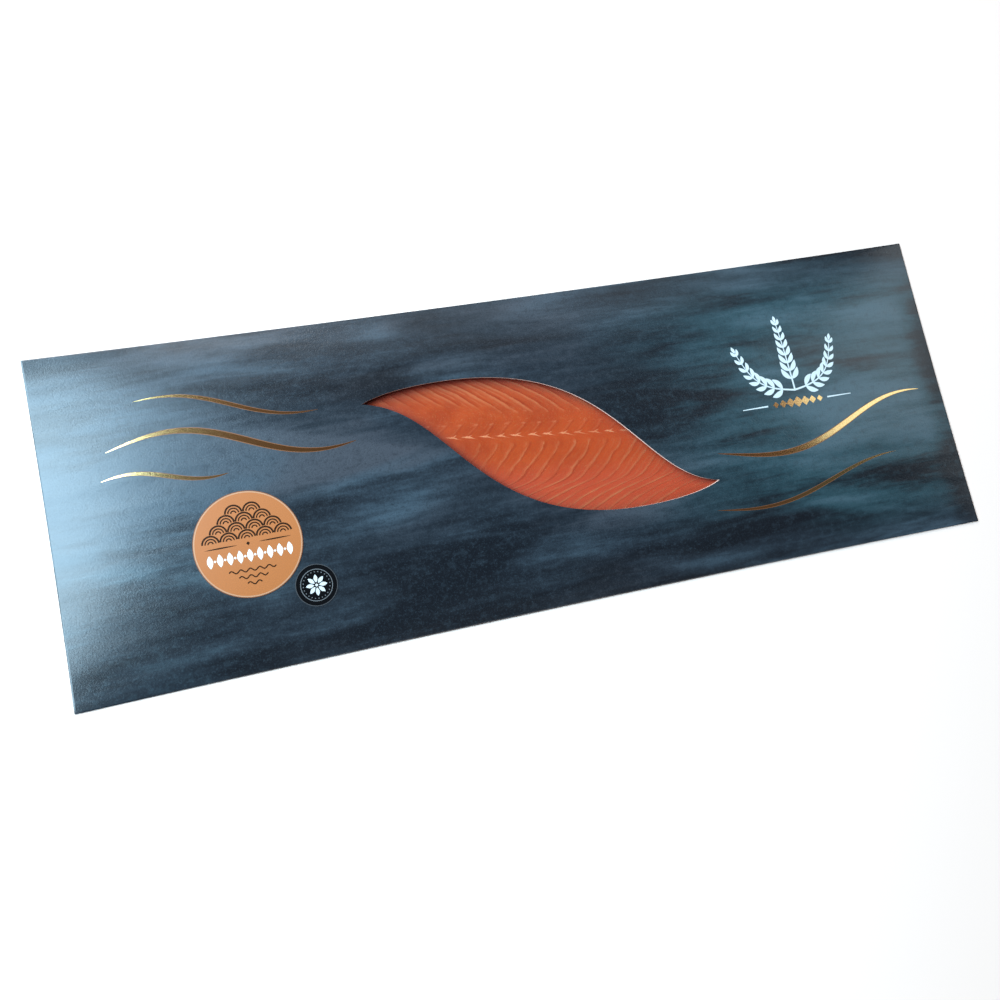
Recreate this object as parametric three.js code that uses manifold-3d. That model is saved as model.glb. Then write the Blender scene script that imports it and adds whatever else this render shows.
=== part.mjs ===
// A long pack of smoked salmon, modelled in millimetres with +Z up.
// A card sleeve, flat at the back and crowned at the front, holds one side of salmon,
// which shows through a leaf-shaped window. Two round stickers lie on the front.
// The origin is the middle of the flat back. +X runs along the pack, +Y to its back edge.
import * as THREE from "three";
import { mergeVertices } from "three/addons/utils/BufferGeometryUtils.js";
import Module from "manifold-3d";

const wasm = await Module();
wasm.setup();

// Sleeve: size over all, card thickness, and how far the front stands up from its edges.
const LENGTH = 575;
const WIDTH = 200;
const CARD = 0.5;
const CROWN = 13;
const CROWN_POWER_ACROSS = 2.4;
const CROWN_POWER_ALONG = 5;
const LONG_EDGE_BOW = 2;
const END_EDGE_BOW = 0.8;
const FOLD_MARGIN = 3;
const END_SEAM = 12;
const SLEEVE_COLUMNS = 38;
const SLEEVE_ROWS = 20;

// Window: a leaf that is the same when it is turned half a turn about the middle.
const LEAF_TIP = new THREE.Vector2(-105.3, 41.5);
const LEAF_CREST = new THREE.Vector2(-56.2, 48.6);
const LEAF_TIP_PULL = new THREE.Vector2(10.7, 5.1);
const LEAF_CREST_PULL = { before: 18.2, after: 110.6 };
const LEAF_TAIL_PULL = new THREE.Vector2(-53, 10.4);
const LEAF_SEGMENTS = 22;
const WINDOW_CUT = { from: 4, to: 20 };

// Salmon: the line of cut bones, the outline, and how the top lies under the card.
const SALMON_HALF_LENGTH = 262;
const BONE_LINE_Y = 5.9;
const BONE_LINE_SLOPE = -0.126;
const BACK_EDGE = [[-262, 62], [-180, 76], [-60, 80], [60, 70], [160, 45], [262, -6]];
const BELLY_EDGE = [[-262, -34], [-200, -68], [-90, -81], [60, -81], [170, -66], [262, -45]];
const EDGE_SAMPLES = 120;
const END_ROUNDING = 0.04;
const SKIN_GAP = 0.8;
const SIDE_DROP = { part: 0.45, power: 6 };
const SHOULDER_DIP = { depth: 1.6, from: -66, run: 40 };

// Flakes: the muscle segments, one to each bone, and the grooves between them.
const FLAKE_PITCH = 9.7;
const FIRST_BONE_X = -56.6;
const FLAKES_LEFT = 5;
const FLAKES_RIGHT = 25;
const FLAKE_CREST = 0.38;
const ROW_STEP = 4;
const FLAKE_ROWS_BELOW = 12;
const FLAKE_ROWS_ABOVE = 11;
const FLAKE_REACH = FLAKE_ROWS_BELOW * ROW_STEP;
const OUTER_ROWS = 3;
const OUTER_COLUMNS = 10;

// The way a groove runs, by its distance from the bone line. Above the line it moves to a
// hump towards the tail and falls back. Below, it has a small hook, leans towards the head
// and sweeps further that way in the belly.
const HUMP = { shift: 11, height: 15, fall: 1, bend: 0.02 };
const HOOK = { shift: 4.3, depth: 4 };
const LEAN = 0.85;
const SWEEP = { shift: 49, from: 20, run: 26 };

// How deep a groove is, and over what distance from the bone line it gets there.
const GROOVE_DEPTH = { back: 0.45, middle: 0.1, belly: 0.3 };
const GROOVE_GROWTH = { backFrom: 14, backRun: 8, bellyRun: 6 };

// Stickers on the front.
const STICKER = 0.2;
const STICKER_GAP = 0.06;
const ROUND_STICKER = { x: -182.8, y: -27.5, radius: 30.2, rings: 4, sides: 48 };
const SMALL_STICKER = { x: -150, y: -57.5, radius: 11.9, rings: 2, sides: 36 };

const clamp01 = (value) => Math.min(1, Math.max(0, value));
const smoothStep = (value) => clamp01(value) ** 2 * (3 - 2 * clamp01(value));
const quarterWave = (value) => Math.sin(Math.PI / 2 * clamp01(value));

function finish(color, roughness) {
  return new THREE.MeshStandardMaterial({ color, roughness, metalness: 0 });
}

// ---- The sleeve's form ----

const halfWidthAt = (x) => WIDTH / 2 - LONG_EDGE_BOW * (1 - (2 * x / LENGTH) ** 2);
const halfLengthAt = (y) => LENGTH / 2 - END_EDGE_BOW * (1 - (2 * y / WIDTH) ** 2);

// Height of the front's outer face. Along the edges only the two layers of card are left.
function frontHeight(x, y) {
  const across = clamp01(Math.abs(y) / halfWidthAt(x));
  const along = clamp01(Math.abs(x) / halfLengthAt(y));
  const crown = (1 - across ** CROWN_POWER_ACROSS) * (1 - along ** CROWN_POWER_ALONG);
  return 2 * CARD + CROWN * crown;
}

// A closed solid with a flat base and a top of columns by rows. topPoint(column, row) gives
// each corner of the top, and walls join the rim of the top to the base.
function crownedSolid(columns, rows, topPoint, baseHeight) {
  const position = [];
  const index = [];
  const stride = rows + 1;
  for (let column = 0; column <= columns; column++) {
    for (let row = 0; row <= rows; row++) position.push(...topPoint(column, row));
  }
  for (let column = 0; column < columns; column++) {
    for (let row = 0; row < rows; row++) {
      const corner = column * stride + row;
      index.push(corner, corner + stride, corner + stride + 1);
      index.push(corner, corner + stride + 1, corner + 1);
    }
  }
  const rim = rimOfGrid(columns, rows);
  const firstBase = position.length / 3;
  for (const corner of rim) {
    position.push(position[3 * corner], position[3 * corner + 1], baseHeight);
  }
  rim.forEach((corner, place) => {
    const next = (place + 1) % rim.length;
    index.push(corner, firstBase + place, firstBase + next);
    index.push(corner, firstBase + next, rim[next]);
  });
  const outline = rim.map((corner) => new THREE.Vector2(position[3 * corner], position[3 * corner + 1]));
  for (const [a, b, c] of THREE.ShapeUtils.triangulateShape(outline, [])) {
    index.push(firstBase + a, firstBase + c, firstBase + b);
  }
  const geometry = new THREE.BufferGeometry();
  geometry.setAttribute("position", new THREE.Float32BufferAttribute(position, 3));
  geometry.setIndex(index);
  return geometry;
}

// The rim's corners in order, anticlockwise seen from above.
function rimOfGrid(columns, rows) {
  const stride = rows + 1;
  const rim = [];
  for (let column = 0; column < columns; column++) rim.push(column * stride);
  for (let row = 0; row < rows; row++) rim.push(columns * stride + row);
  for (let column = columns; column > 0; column--) rim.push(column * stride + rows);
  for (let row = rows; row > 0; row--) rim.push(row);
  return rim;
}

// The sleeve's outer body, or the hollow in it: the same form inside the card.
function sleeveBody(endMargin, foldMargin, lowered, baseHeight) {
  const lengthScale = 1 - endMargin / (LENGTH / 2);
  const widthScale = 1 - foldMargin / (WIDTH / 2);
  const topPoint = (column, row) => {
    const along = 2 * column / SLEEVE_COLUMNS - 1;
    const across = 2 * row / SLEEVE_ROWS - 1;
    const x = along * lengthScale * halfLengthAt(across * WIDTH / 2);
    const y = across * widthScale * halfWidthAt(x);
    return [x, y, frontHeight(x, y) - lowered];
  };
  return crownedSolid(SLEEVE_COLUMNS, SLEEVE_ROWS, topPoint, baseHeight);
}

// ---- Cutting ----

function toSolid(geometry) {
  const bare = geometry.clone();
  bare.deleteAttribute("normal");
  bare.deleteAttribute("uv");
  const merged = mergeVertices(bare);
  return new wasm.Manifold(new wasm.Mesh({
    numProp: 3,
    vertProperties: new Float32Array(merged.attributes.position.array),
    triVerts: new Uint32Array(merged.index.array),
  }));
}

function toGeometry(solid) {
  const mesh = solid.getMesh();
  const geometry = new THREE.BufferGeometry();
  geometry.setAttribute("position", new THREE.Float32BufferAttribute(mesh.vertProperties, 3));
  geometry.setIndex(Array.from(mesh.triVerts));
  return geometry;
}

// ---- Pieces ----

// The leaf: one edge from tip to tail over its crest, then that edge turned half a turn.
function leafShape() {
  const leaf = new THREE.Shape();
  leaf.moveTo(LEAF_TIP.x, LEAF_TIP.y);
  for (const turn of [1, -1]) {
    const tip = LEAF_TIP.clone().multiplyScalar(turn);
    const crest = LEAF_CREST.clone().multiplyScalar(turn);
    const tail = LEAF_TIP.clone().multiplyScalar(-turn);
    const tipPull = LEAF_TIP_PULL.clone().multiplyScalar(turn).add(tip);
    const tailPull = LEAF_TAIL_PULL.clone().multiplyScalar(turn).add(tail);
    const before = crest.x - turn * LEAF_CREST_PULL.before;
    const after = crest.x + turn * LEAF_CREST_PULL.after;
    leaf.bezierCurveTo(tipPull.x, tipPull.y, before, crest.y, crest.x, crest.y);
    leaf.bezierCurveTo(after, crest.y, tailPull.x, tailPull.y, tail.x, tail.y);
  }
  return leaf;
}

function windowCutter() {
  const depth = WINDOW_CUT.to - WINDOW_CUT.from;
  const options = { depth, bevelEnabled: false, curveSegments: LEAF_SEGMENTS };
  return new THREE.ExtrudeGeometry(leafShape(), options).translate(0, 0, WINDOW_CUT.from);
}

function makeSleeve() {
  const outer = toSolid(sleeveBody(0, 0, 0, 0));
  const hollow = toSolid(sleeveBody(END_SEAM, FOLD_MARGIN, CARD, CARD));
  const cut = outer.subtract(hollow).subtract(toSolid(windowCutter()));
  const sleeve = new THREE.Mesh(toGeometry(cut), finish(0x3f586a, 0.45));
  sleeve.name = "sleeve";
  return sleeve;
}

const boneLineAt = (x) => BONE_LINE_Y + BONE_LINE_SLOPE * x;

// A smooth edge through a few corners, as a function of x.
function edgeThrough(corners) {
  const curve = new THREE.SplineCurve(corners.map(([x, y]) => new THREE.Vector2(x, y)));
  const samples = curve.getPoints(EDGE_SAMPLES);
  return (x) => {
    const after = samples.findIndex((sample) => sample.x >= x);
    if (after <= 0) return after === 0 ? samples[0].y : samples.at(-1).y;
    const [a, b] = [samples[after - 1], samples[after]];
    return a.y + (b.y - a.y) * (x - a.x) / (b.x - a.x);
  };
}

// How far a groove between two flakes has moved along the fish, at a distance from the
// bone line: a hump above it, and a long sweep towards the head in the belly below it.
function grooveShift(distance) {
  if (distance >= HUMP.height) {
    const past = distance - HUMP.height;
    return HUMP.shift - HUMP.fall * past - HUMP.bend * past ** 2;
  }
  if (distance >= 0) return HUMP.shift * quarterWave(distance / HUMP.height);
  const depth = -distance;
  const hook = HOOK.shift * (depth / HOOK.depth) * Math.exp(1 - depth / HOOK.depth);
  return hook - LEAN * depth - SWEEP.shift * quarterWave((depth - SWEEP.from) / SWEEP.run);
}

// How deep a groove is: shallow in the middle of the back, deep near its edge.
function grooveDepth(distance) {
  const { back, middle, belly } = GROOVE_DEPTH;
  const { backFrom, backRun, bellyRun } = GROOVE_GROWTH;
  if (distance < 0) return belly * smoothStep(-distance / bellyRun);
  return middle + (back - middle) * smoothStep((distance - backFrom) / backRun);
}

// Columns of the salmon's top: two to each flake, a groove and a crest, and a few wider
// ones out to the ends, where the columns stop following the flakes.
function salmonColumns() {
  const columns = [];
  for (let flake = -FLAKES_LEFT; flake <= FLAKES_RIGHT; flake++) {
    const groove = FIRST_BONE_X + flake * FLAKE_PITCH;
    columns.push({ x: groove, groove: 1, sweep: 1 });
    columns.push({ x: groove + FLAKE_CREST * FLAKE_PITCH, groove: 0, sweep: 1 });
  }
  const first = columns[0].x;
  const last = columns.at(-1).x;
  for (let step = 1; step <= OUTER_COLUMNS; step++) {
    const part = step / OUTER_COLUMNS;
    const sweep = 1 - smoothStep(part);
    columns.unshift({ x: first + (-SALMON_HALF_LENGTH - first) * part, groove: 0, sweep });
    columns.push({ x: last + (SALMON_HALF_LENGTH - last) * part, groove: 0, sweep });
  }
  return columns;
}

// Rows of the salmon's top: distances from the bone line, and beyond them a part of the
// way from the last of these to the edge.
function salmonRows() {
  const rows = [];
  for (let row = -FLAKE_ROWS_BELOW; row <= FLAKE_ROWS_ABOVE; row++) {
    rows.push({ distance: row * ROW_STEP, outward: 0 });
  }
  for (let step = 1; step <= OUTER_ROWS; step++) {
    rows.unshift({ distance: -FLAKE_ROWS_BELOW * ROW_STEP, outward: step / OUTER_ROWS });
    rows.push({ distance: FLAKE_ROWS_ABOVE * ROW_STEP, outward: step / OUTER_ROWS });
  }
  return rows;
}

// Height of the salmon's top: just under the card, lower at its sides and at the shoulder.
function salmonHeight(x, y, outward) {
  const ceiling = frontHeight(x, y) - CARD - SKIN_GAP;
  const side = 1 - SIDE_DROP.part * outward ** SIDE_DROP.power;
  const dip = SHOULDER_DIP.depth * smoothStep((SHOULDER_DIP.from - x) / SHOULDER_DIP.run);
  return (ceiling - CARD - dip) * side;
}

function makeSalmon() {
  const columns = salmonColumns();
  const rows = salmonRows();
  const backEdge = edgeThrough(BACK_EDGE);
  const bellyEdge = edgeThrough(BELLY_EDGE);
  const topPoint = (columnNumber, rowNumber) => {
    const column = columns[columnNumber];
    const { distance, outward } = rows[rowNumber];
    const shifted = column.x + column.sweep * grooveShift(distance);
    const edge = distance > 0 ? backEdge : bellyEdge;
    const reach = Math.abs(edge(shifted) - boneLineAt(shifted));
    const room = Math.min(1, (reach - ROW_STEP) / FLAKE_REACH);
    const inner = Math.abs(distance) * room;
    const offset = Math.sign(distance) * (inner + (reach - inner) * outward);
    const x = shifted * (1 - END_ROUNDING * (offset / reach) ** 2);
    const y = boneLineAt(shifted) + offset;
    const groove = column.groove * grooveDepth(distance) * (1 - outward);
    return [x, y, salmonHeight(x, y, Math.abs(offset) / reach) - groove];
  };
  const geometry = crownedSolid(columns.length - 1, rows.length - 1, topPoint, 0);
  const salmon = new THREE.Mesh(geometry, finish(0xd8572f, 0.35));
  salmon.name = "salmon";
  salmon.position.z = CARD;
  return salmon;
}

// A thin round sticker that follows the front's crown.
function makeSticker(name, { x, y, radius, rings, sides }, material) {
  const profile = [];
  for (let ring = 0; ring <= rings; ring++) profile.push(new THREE.Vector2(radius * ring / rings, 0));
  for (let ring = rings; ring >= 0; ring--) profile.push(new THREE.Vector2(radius * ring / rings, STICKER));
  const geometry = new THREE.LatheGeometry(profile, sides).rotateX(Math.PI / 2);
  const middle = frontHeight(x, y);
  const corners = geometry.attributes.position;
  for (let corner = 0; corner < corners.count; corner++) {
    const drop = frontHeight(x + corners.getX(corner), y + corners.getY(corner)) - middle;
    corners.setZ(corner, corners.getZ(corner) + drop);
  }
  const sticker = new THREE.Mesh(geometry, material);
  sticker.name = name;
  sticker.position.set(x, y, middle + STICKER_GAP);
  return sticker;
}

const pack = new THREE.Group();
pack.name = "salmon_pack";
pack.add(makeSleeve());
pack.add(makeSalmon());
pack.add(makeSticker("sticker_round", ROUND_STICKER, finish(0xe79c62, 0.5)));
pack.add(makeSticker("sticker_small", SMALL_STICKER, finish(0x1d1d20, 0.4)));

export default pack;
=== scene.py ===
"""Dresses the pack of smoked salmon: printed card sleeve, salmon under film, foil and stickers.

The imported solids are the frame. Each operator makes one piece or one group of like pieces
from bmesh shapes, in metres, and the panel in the sidebar lists them all.
"""

import math

import bmesh
import bpy
from bpy.props import FloatProperty, FloatVectorProperty, PointerProperty
from mathutils import Matrix, Vector, kdtree, noise
from mathutils.geometry import interpolate_bezier


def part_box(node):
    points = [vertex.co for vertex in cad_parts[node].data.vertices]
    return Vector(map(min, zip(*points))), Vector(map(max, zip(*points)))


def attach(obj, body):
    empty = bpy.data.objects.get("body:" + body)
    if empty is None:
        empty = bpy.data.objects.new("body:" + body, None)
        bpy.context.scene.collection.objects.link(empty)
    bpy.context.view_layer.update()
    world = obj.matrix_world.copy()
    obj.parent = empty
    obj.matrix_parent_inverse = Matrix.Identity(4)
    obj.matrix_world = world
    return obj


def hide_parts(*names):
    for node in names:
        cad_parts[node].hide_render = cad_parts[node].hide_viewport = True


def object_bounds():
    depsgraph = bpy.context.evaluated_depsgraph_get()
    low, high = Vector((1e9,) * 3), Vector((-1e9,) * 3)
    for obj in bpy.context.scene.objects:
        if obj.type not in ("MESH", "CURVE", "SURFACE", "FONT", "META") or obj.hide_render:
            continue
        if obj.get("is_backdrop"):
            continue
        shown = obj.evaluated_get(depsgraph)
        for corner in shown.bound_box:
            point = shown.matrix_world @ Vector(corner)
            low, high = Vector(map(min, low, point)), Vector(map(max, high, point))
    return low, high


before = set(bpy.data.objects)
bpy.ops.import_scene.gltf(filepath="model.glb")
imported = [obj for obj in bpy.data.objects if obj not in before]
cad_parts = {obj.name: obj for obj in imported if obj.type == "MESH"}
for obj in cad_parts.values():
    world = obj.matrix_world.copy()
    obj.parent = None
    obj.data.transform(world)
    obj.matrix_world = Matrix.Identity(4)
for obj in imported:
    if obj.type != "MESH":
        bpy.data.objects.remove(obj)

bl_info = {
    "name": "Smoked Salmon Pack",
    "version": (1, 0, 0),
    "blender": (4, 5, 0),
    "location": "View3D > Sidebar > Salmon Pack",
    "description": "Builds the looks of a card sleeve with a side of smoked salmon in it",
    "category": "Object",
}

MM = 0.001
CAD_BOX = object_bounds()
SLEEVE_LOW, SLEEVE_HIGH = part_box("sleeve")
SALMON_LOW, SALMON_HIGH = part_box("salmon")
ROUND_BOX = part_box("sticker_round")
SMALL_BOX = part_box("sticker_small")


# ---- Settings ----


def length(name, description, millimetres):
    default = millimetres * MM
    return FloatProperty(name=name, description=description, default=default, unit="LENGTH")


def factor(name, description, default):
    return FloatProperty(name=name, description=description, default=default, subtype="FACTOR")


def colour(name, description, *channels):
    return FloatVectorProperty(
        name=name, description=description, default=channels, subtype="COLOR", size=3
    )


class SleeveSizes(bpy.types.PropertyGroup):
    """Sizes of the card sleeve."""

    card: length("Card", "Thickness of the card", 0.5)
    edge_bow: length("Long edge bow", "How far the long edges bow inwards at their middle", 2)
    end_bow: length("End bow", "How far the ends bow inwards at their middle", 0.8)
    fold_margin: length("Fold margin", "Card left solid beside the long folds", 3)
    end_seam: length("End seam", "Width of the glued seam at each end", 12)
    seam_offset: length("Back seam", "Distance of the back's glued seam from the middle", 34)
    seam_step: length("Seam step", "How far the back drops at its glued seam", 0.32)


class CardLook(bpy.types.PropertyGroup):
    """Colours of the printed card."""

    deep: colour("Deep", "Darkest blue of the print", 0.0045, 0.0068, 0.0110)
    slate: colour("Slate", "Middle blue of the print", 0.0150, 0.0225, 0.0320)
    mist: colour("Mist", "Lightest blue of the print", 0.050, 0.077, 0.102)
    haze: colour("Haze", "Brown-grey haze in the print", 0.050, 0.056, 0.070)
    teal: colour("Teal", "Green-blue towards the right end", 0.023, 0.065, 0.081)
    # Lagoon is also the blue of the painted sheen at the lower left end.
    lagoon: colour("Lagoon", "Lightest green-blue of the print", 0.056, 0.106, 0.130)
    # The cut edge's pink-orange tint is partly painted reflection of the salmon beside it. The
    # card's own core is pale.
    core: colour("Core", "Cut edge of the card", 0.80, 0.46, 0.36)
    inside: colour("Inside", "Unprinted inner face of the card", 0.34, 0.33, 0.32)
    roughness: factor("Roughness", "Roughness of the satin varnish", 0.32)


class SalmonLook(bpy.types.PropertyGroup):
    """Colours of the flesh."""

    flesh: colour("Flesh", "Main colour of the flesh", 0.445, 0.0580, 0.0100)
    # Painted light: the flesh is made lighter towards the tail end, at the right, to even out the
    # lamps' weaker light there.
    painted_light_flesh: colour("Warm", "Flesh towards the tail", 0.55, 0.0700, 0.0155)
    rosy: colour("Rosy", "Flesh towards the belly", 0.53, 0.0675, 0.032)
    # Deep is also the painted shade in the grooves and valleys between flakes.
    deep: colour("Deep", "Grooves between flakes", 0.285, 0.025, 0.0045)
    # Pale is also the painted highlight on the flakes' edges below the bones.
    pale: colour("Pale", "Crests of the flakes", 0.53, 0.150, 0.058)
    fat: colour("Fat", "Fat lines and cut bones", 0.70, 0.23, 0.105)
    # Painted shade: the dark red of the flesh in the shadow of the card's rim.
    rim: colour("Rim", "Flesh pressed dark against the card's rim", 0.170, 0.0110, 0.0035)
    roughness: factor("Roughness", "Roughness of the moist surface", 0.36)


class PrintLook(bpy.types.PropertyGroup):
    """Colours of the foil, the emblem and the stickers."""

    gold: colour("Gold", "Hot-pressed foil", 0.82, 0.60, 0.27)
    # Painted reflection: the redder copper that the foil shows towards the window.
    copper: colour("Copper", "Redder foil towards the window", 0.98, 0.40, 0.15)
    craze: colour("Craze", "Darker crazing in the foil", 0.40, 0.17, 0.06)
    outline: colour("Outline", "Thin brown line round the foil", 0.24, 0.095, 0.040)
    white: colour("White", "Emblem on the card", 0.72, 0.78, 0.80)
    orange: colour("Orange", "Round sticker", 0.495, 0.152, 0.037)
    line: colour("Line", "Thin pale line round the round sticker", 0.58, 0.28, 0.15)
    rim: colour("Rim", "Edge of the round sticker", 0.20, 0.062, 0.022)
    ink: colour("Ink", "Dark print on the round sticker", 0.034, 0.0125, 0.0055)
    black: colour("Black", "Small sticker", 0.004, 0.004, 0.005)


class StageSizes(bpy.types.PropertyGroup):
    """Where the camera stands."""

    camera_x: length("Camera X", "Camera along the pack", -173.1)
    camera_y: length("Camera Y", "Camera across the pack", -108.4)
    camera_height: length("Camera height", "Camera above the floor", 576.5)
    lens: FloatProperty(
        name="Lens", description="Focal length on a 36 mm sensor", default=35.5, unit="CAMERA"
    )


# ---- Plain arithmetic ----


def clamp01(value):
    return min(1.0, max(0.0, value))


def ramp(value, low, high):
    """0 at low and 1 at high, level outside them; low may be the larger one."""
    return clamp01((value - low) / (high - low))


def smooth_ramp(value, low, high):
    part = ramp(value, low, high)
    return part * part * (3 - 2 * part)


def along_stops(value, stops):
    """Straight from one (value, result) stop to the next, and level outside them."""
    for (start, low), (end, high) in zip(stops, stops[1:]):
        if value < end:
            return low + (high - low) * ramp(value, start, end)
    return stops[-1][1]


def evenly(start, end, count):
    """Evenly spaced values from start on, without the end."""
    return [start + (end - start) * number / count for number in range(count)]


def mm(x, y):
    """A flat vector given in millimetres."""
    return Vector((x, y)) * MM


def direction(degrees):
    return Vector((math.cos(math.radians(degrees)), math.sin(math.radians(degrees))))


# ---- The form of the front ----

LENGTH = SLEEVE_HIGH[0] - SLEEVE_LOW[0]
WIDTH = SLEEVE_HIGH[1] - SLEEVE_LOW[1]
CROWN_POWER_ACROSS = 2.4
CROWN_POWER_ALONG = 5


def sizes():
    return bpy.context.scene.sleeve_sizes


def half_width_at(x):
    return WIDTH / 2 - sizes().edge_bow * (1 - (2 * x / LENGTH) ** 2)


def half_length_at(y):
    return LENGTH / 2 - sizes().end_bow * (1 - (2 * y / WIDTH) ** 2)


def front_height(x, y):
    """Height of the front's outer face, which is crowned and thins to two layers at its edges."""
    edge = 2 * sizes().card
    across = clamp01(abs(y) / half_width_at(x))
    along = clamp01(abs(x) / half_length_at(y))
    crown = (1 - across**CROWN_POWER_ACROSS) * (1 - along**CROWN_POWER_ALONG)
    return edge + (SLEEVE_HIGH[2] - edge) * crown


# ---- Making pieces ----

SHARP_ANGLE = math.radians(40)


def make_object(bm, name, materials):
    """Turns a bmesh into an object of the scene."""
    mesh = bpy.data.meshes.new(name)
    for face in bm.faces:
        face.smooth = True
    bm.to_mesh(mesh)
    bm.free()
    for material in materials:
        mesh.materials.append(material)
    made = bpy.data.objects.new(name, mesh)
    bpy.context.scene.collection.objects.link(made)
    return made


def finish_piece(bm, name, materials):
    """Makes a finished piece, which rides on the pack's one body."""
    piece = make_object(bm, name, materials)
    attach(piece, "root")
    return piece


def linked_edges(corners):
    """The edges that meet a few corners, each once."""
    return list(dict.fromkeys(edge for corner in corners for edge in corner.link_edges))


def mark_sharp(edges):
    for edge in edges:
        edge.smooth = False


def grow_ring(bm, ring, place, material=0):
    """Extrudes a closed ring of edges, puts each new corner where place says, returns the new
    ring."""
    made = bmesh.ops.extrude_edge_only(bm, edges=ring)["geom"]
    corners = {part for part in made if isinstance(part, bmesh.types.BMVert)}
    for corner in corners:
        corner.co = place(corner)
    for part in made:
        if isinstance(part, bmesh.types.BMFace):
            part.material_index = material
    edges = [part for part in made if isinstance(part, bmesh.types.BMEdge)]
    return [edge for edge in edges if edge.verts[0] in corners and edge.verts[1] in corners]


# ---- Shader arithmetic ----


def operator_pair(operation):
    """An operator on shader values, and its reflected form."""

    def forward(self, other):
        return self.math(operation, other)

    def reflected(self, other):
        return self.shader.node("ShaderNodeMath", {"operation": operation}, {0: other, 1: self})

    return forward, reflected


class Value:
    """A shader socket in arithmetic: an expression on it adds its Math nodes."""

    def __init__(self, shader, socket):
        self.shader = shader
        self.socket = socket

    def math(self, operation, *others):
        inputs = dict(enumerate((self, *others)))
        return self.shader.node("ShaderNodeMath", {"operation": operation}, inputs)

    def rise(self, low, high, start=0.0, end=1.0):
        """Goes smoothly from start at low to end at high; low may be the larger one."""
        settings = {"interpolation_type": "SMOOTHSTEP"}
        inputs = {"Value": self, "From Min": low, "From Max": high, "To Min": start, "To Max": end}
        return self.shader.node("ShaderNodeMapRange", settings, inputs)

    def band(self, low, high, falling, end):
        """Rises from low to high, and falls again from falling to end."""
        return self.rise(low, high) * self.rise(end, falling)

    def __abs__(self):
        return self.math("ABSOLUTE")

    __add__, __radd__ = operator_pair("ADD")
    __sub__, __rsub__ = operator_pair("SUBTRACT")
    __mul__, __rmul__ = operator_pair("MULTIPLY")
    __truediv__, __rtruediv__ = operator_pair("DIVIDE")
    __pow__, __rpow__ = operator_pair("POWER")


class Shader:
    """A material in the making. node() adds any node, and the rest are short ways to common
    ones."""

    def __init__(self, name):
        self.material = bpy.data.materials.new(name)
        self.material.use_nodes = True
        self.tree = self.material.node_tree
        self.surface = self.tree.nodes["Principled BSDF"]

    def node(self, kind, settings=None, inputs=None, output=0):
        made = self.tree.nodes.new(kind)
        for key, value in (settings or {}).items():
            setattr(made, key, value)
        for key, value in (inputs or {}).items():
            self.feed(made.inputs[key], value)
        return Value(self, made.outputs[output])

    def feed(self, socket, value):
        """Links a shader value to a socket, or sets the socket to a plain one."""
        if isinstance(value, Value):
            self.tree.links.new(value.socket, socket)
        else:
            socket.default_value = value

    def place(self, scale_x=1.0, scale_y=1.0, scale_z=1.0):
        """Object coordinates in metres, each axis scaled."""
        coordinates = self.node("ShaderNodeTexCoord", output="Object")
        return self.scaled(coordinates, scale_x, scale_y, scale_z)

    def scaled(self, vector, scale_x, scale_y, scale_z=1.0):
        scale = (scale_x, scale_y, scale_z)
        return self.node("ShaderNodeVectorMath", {"operation": "MULTIPLY"}, {0: vector, 1: scale})

    def split(self, vector):
        return [self.node("ShaderNodeSeparateXYZ", {}, {0: vector}, axis) for axis in "XYZ"]

    def noise(self, vector, detail=3.0, roughness=0.5, distortion=0.0):
        grain = {"Detail": detail, "Roughness": roughness, "Distortion": distortion}
        return self.node("ShaderNodeTexNoise", {}, {"Vector": vector, "Scale": 1.0, **grain}, "Fac")

    def mix(self, amount, one, other):
        settings = {"data_type": "RGBA", "clamp_factor": True}
        values = [v if isinstance(v, Value) else (*v, 1.0) for v in (one, other)]
        return self.node("ShaderNodeMix", settings, {0: amount, 6: values[0], 7: values[1]}, 2)

    def paint(self, body, *coats):
        """Lays coats over a colour one by one: how much each covers, and its own colour."""
        for amount, coat in coats:
            body = self.mix(amount, body, coat)
        return body

    def attribute(self, name):
        return self.node("ShaderNodeAttribute", {"attribute_name": name}, output="Fac")

    def bump(self, height, strength, distance):
        inputs = {"Height": height, "Strength": strength, "Distance": distance}
        return self.node("ShaderNodeBump", {}, inputs)

    def finish(self, **inputs):
        """Sets the surface's sockets, named with _ for a space, and returns the material."""
        for key, value in inputs.items():
            self.feed(self.surface.inputs[key.replace("_", " ")], value)
        return self.material


def mottled_material(name, grain, share, one, other, roughness):
    """A matt surface of one colour, mottled with a share of another. grain is the noise's scale
    on each axis, its detail and its roughness."""
    s = Shader(name)
    scale, *inputs = grain
    mottle = [start + (end - start) * share for start, end in zip(one, other)]
    body = s.mix(s.noise(s.place(*scale), *inputs), one, mottle)
    return s.finish(Base_Color=body, Roughness=roughness)


# ---- The sleeve ----

LEAF_TIP = mm(-105.3, 41.5)
LEAF_TIP_PULL = mm(10.7, 5.1)
LEAF_CREST = mm(-56.2, 48.6)
LEAF_BEFORE_CREST = mm(18.2, 0)
LEAF_AFTER_CREST = mm(110.6, 0)
LEAF_TAIL_PULL = mm(-53, 10.4)
LEAF_CURVE_POINTS = 200
LEAF_HALF_COUNT = 180
LEFT_END_COUNT = 14
TOP_COUNT = 132
FRONT_RINGS = 46
LAST_RING_WIDTH = 0.12  # of the others' width, to keep the front's shading up to its edge
INNER_RINGS = 14
FOLD_RADIUS = 0.5 * MM
CUT_SLOPE = 0.9975  # the cut's lower rim, as a part of its upper rim
CUT_LEAN = mm(-0.32, 0.04)  # and how far it stands out of line
SEAM_WIDTH = 0.2 * MM
BACK_LIMIT = 0.01 * MM  # the back's corners lie below this height
CORE_GRAIN = (1500, 1500, 6000), 3, 0.6  # pale fibres of the cut edge
INSIDE_GRAIN = (500, 900, 500), 4, 0.6  # and of the unprinted inner face


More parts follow.
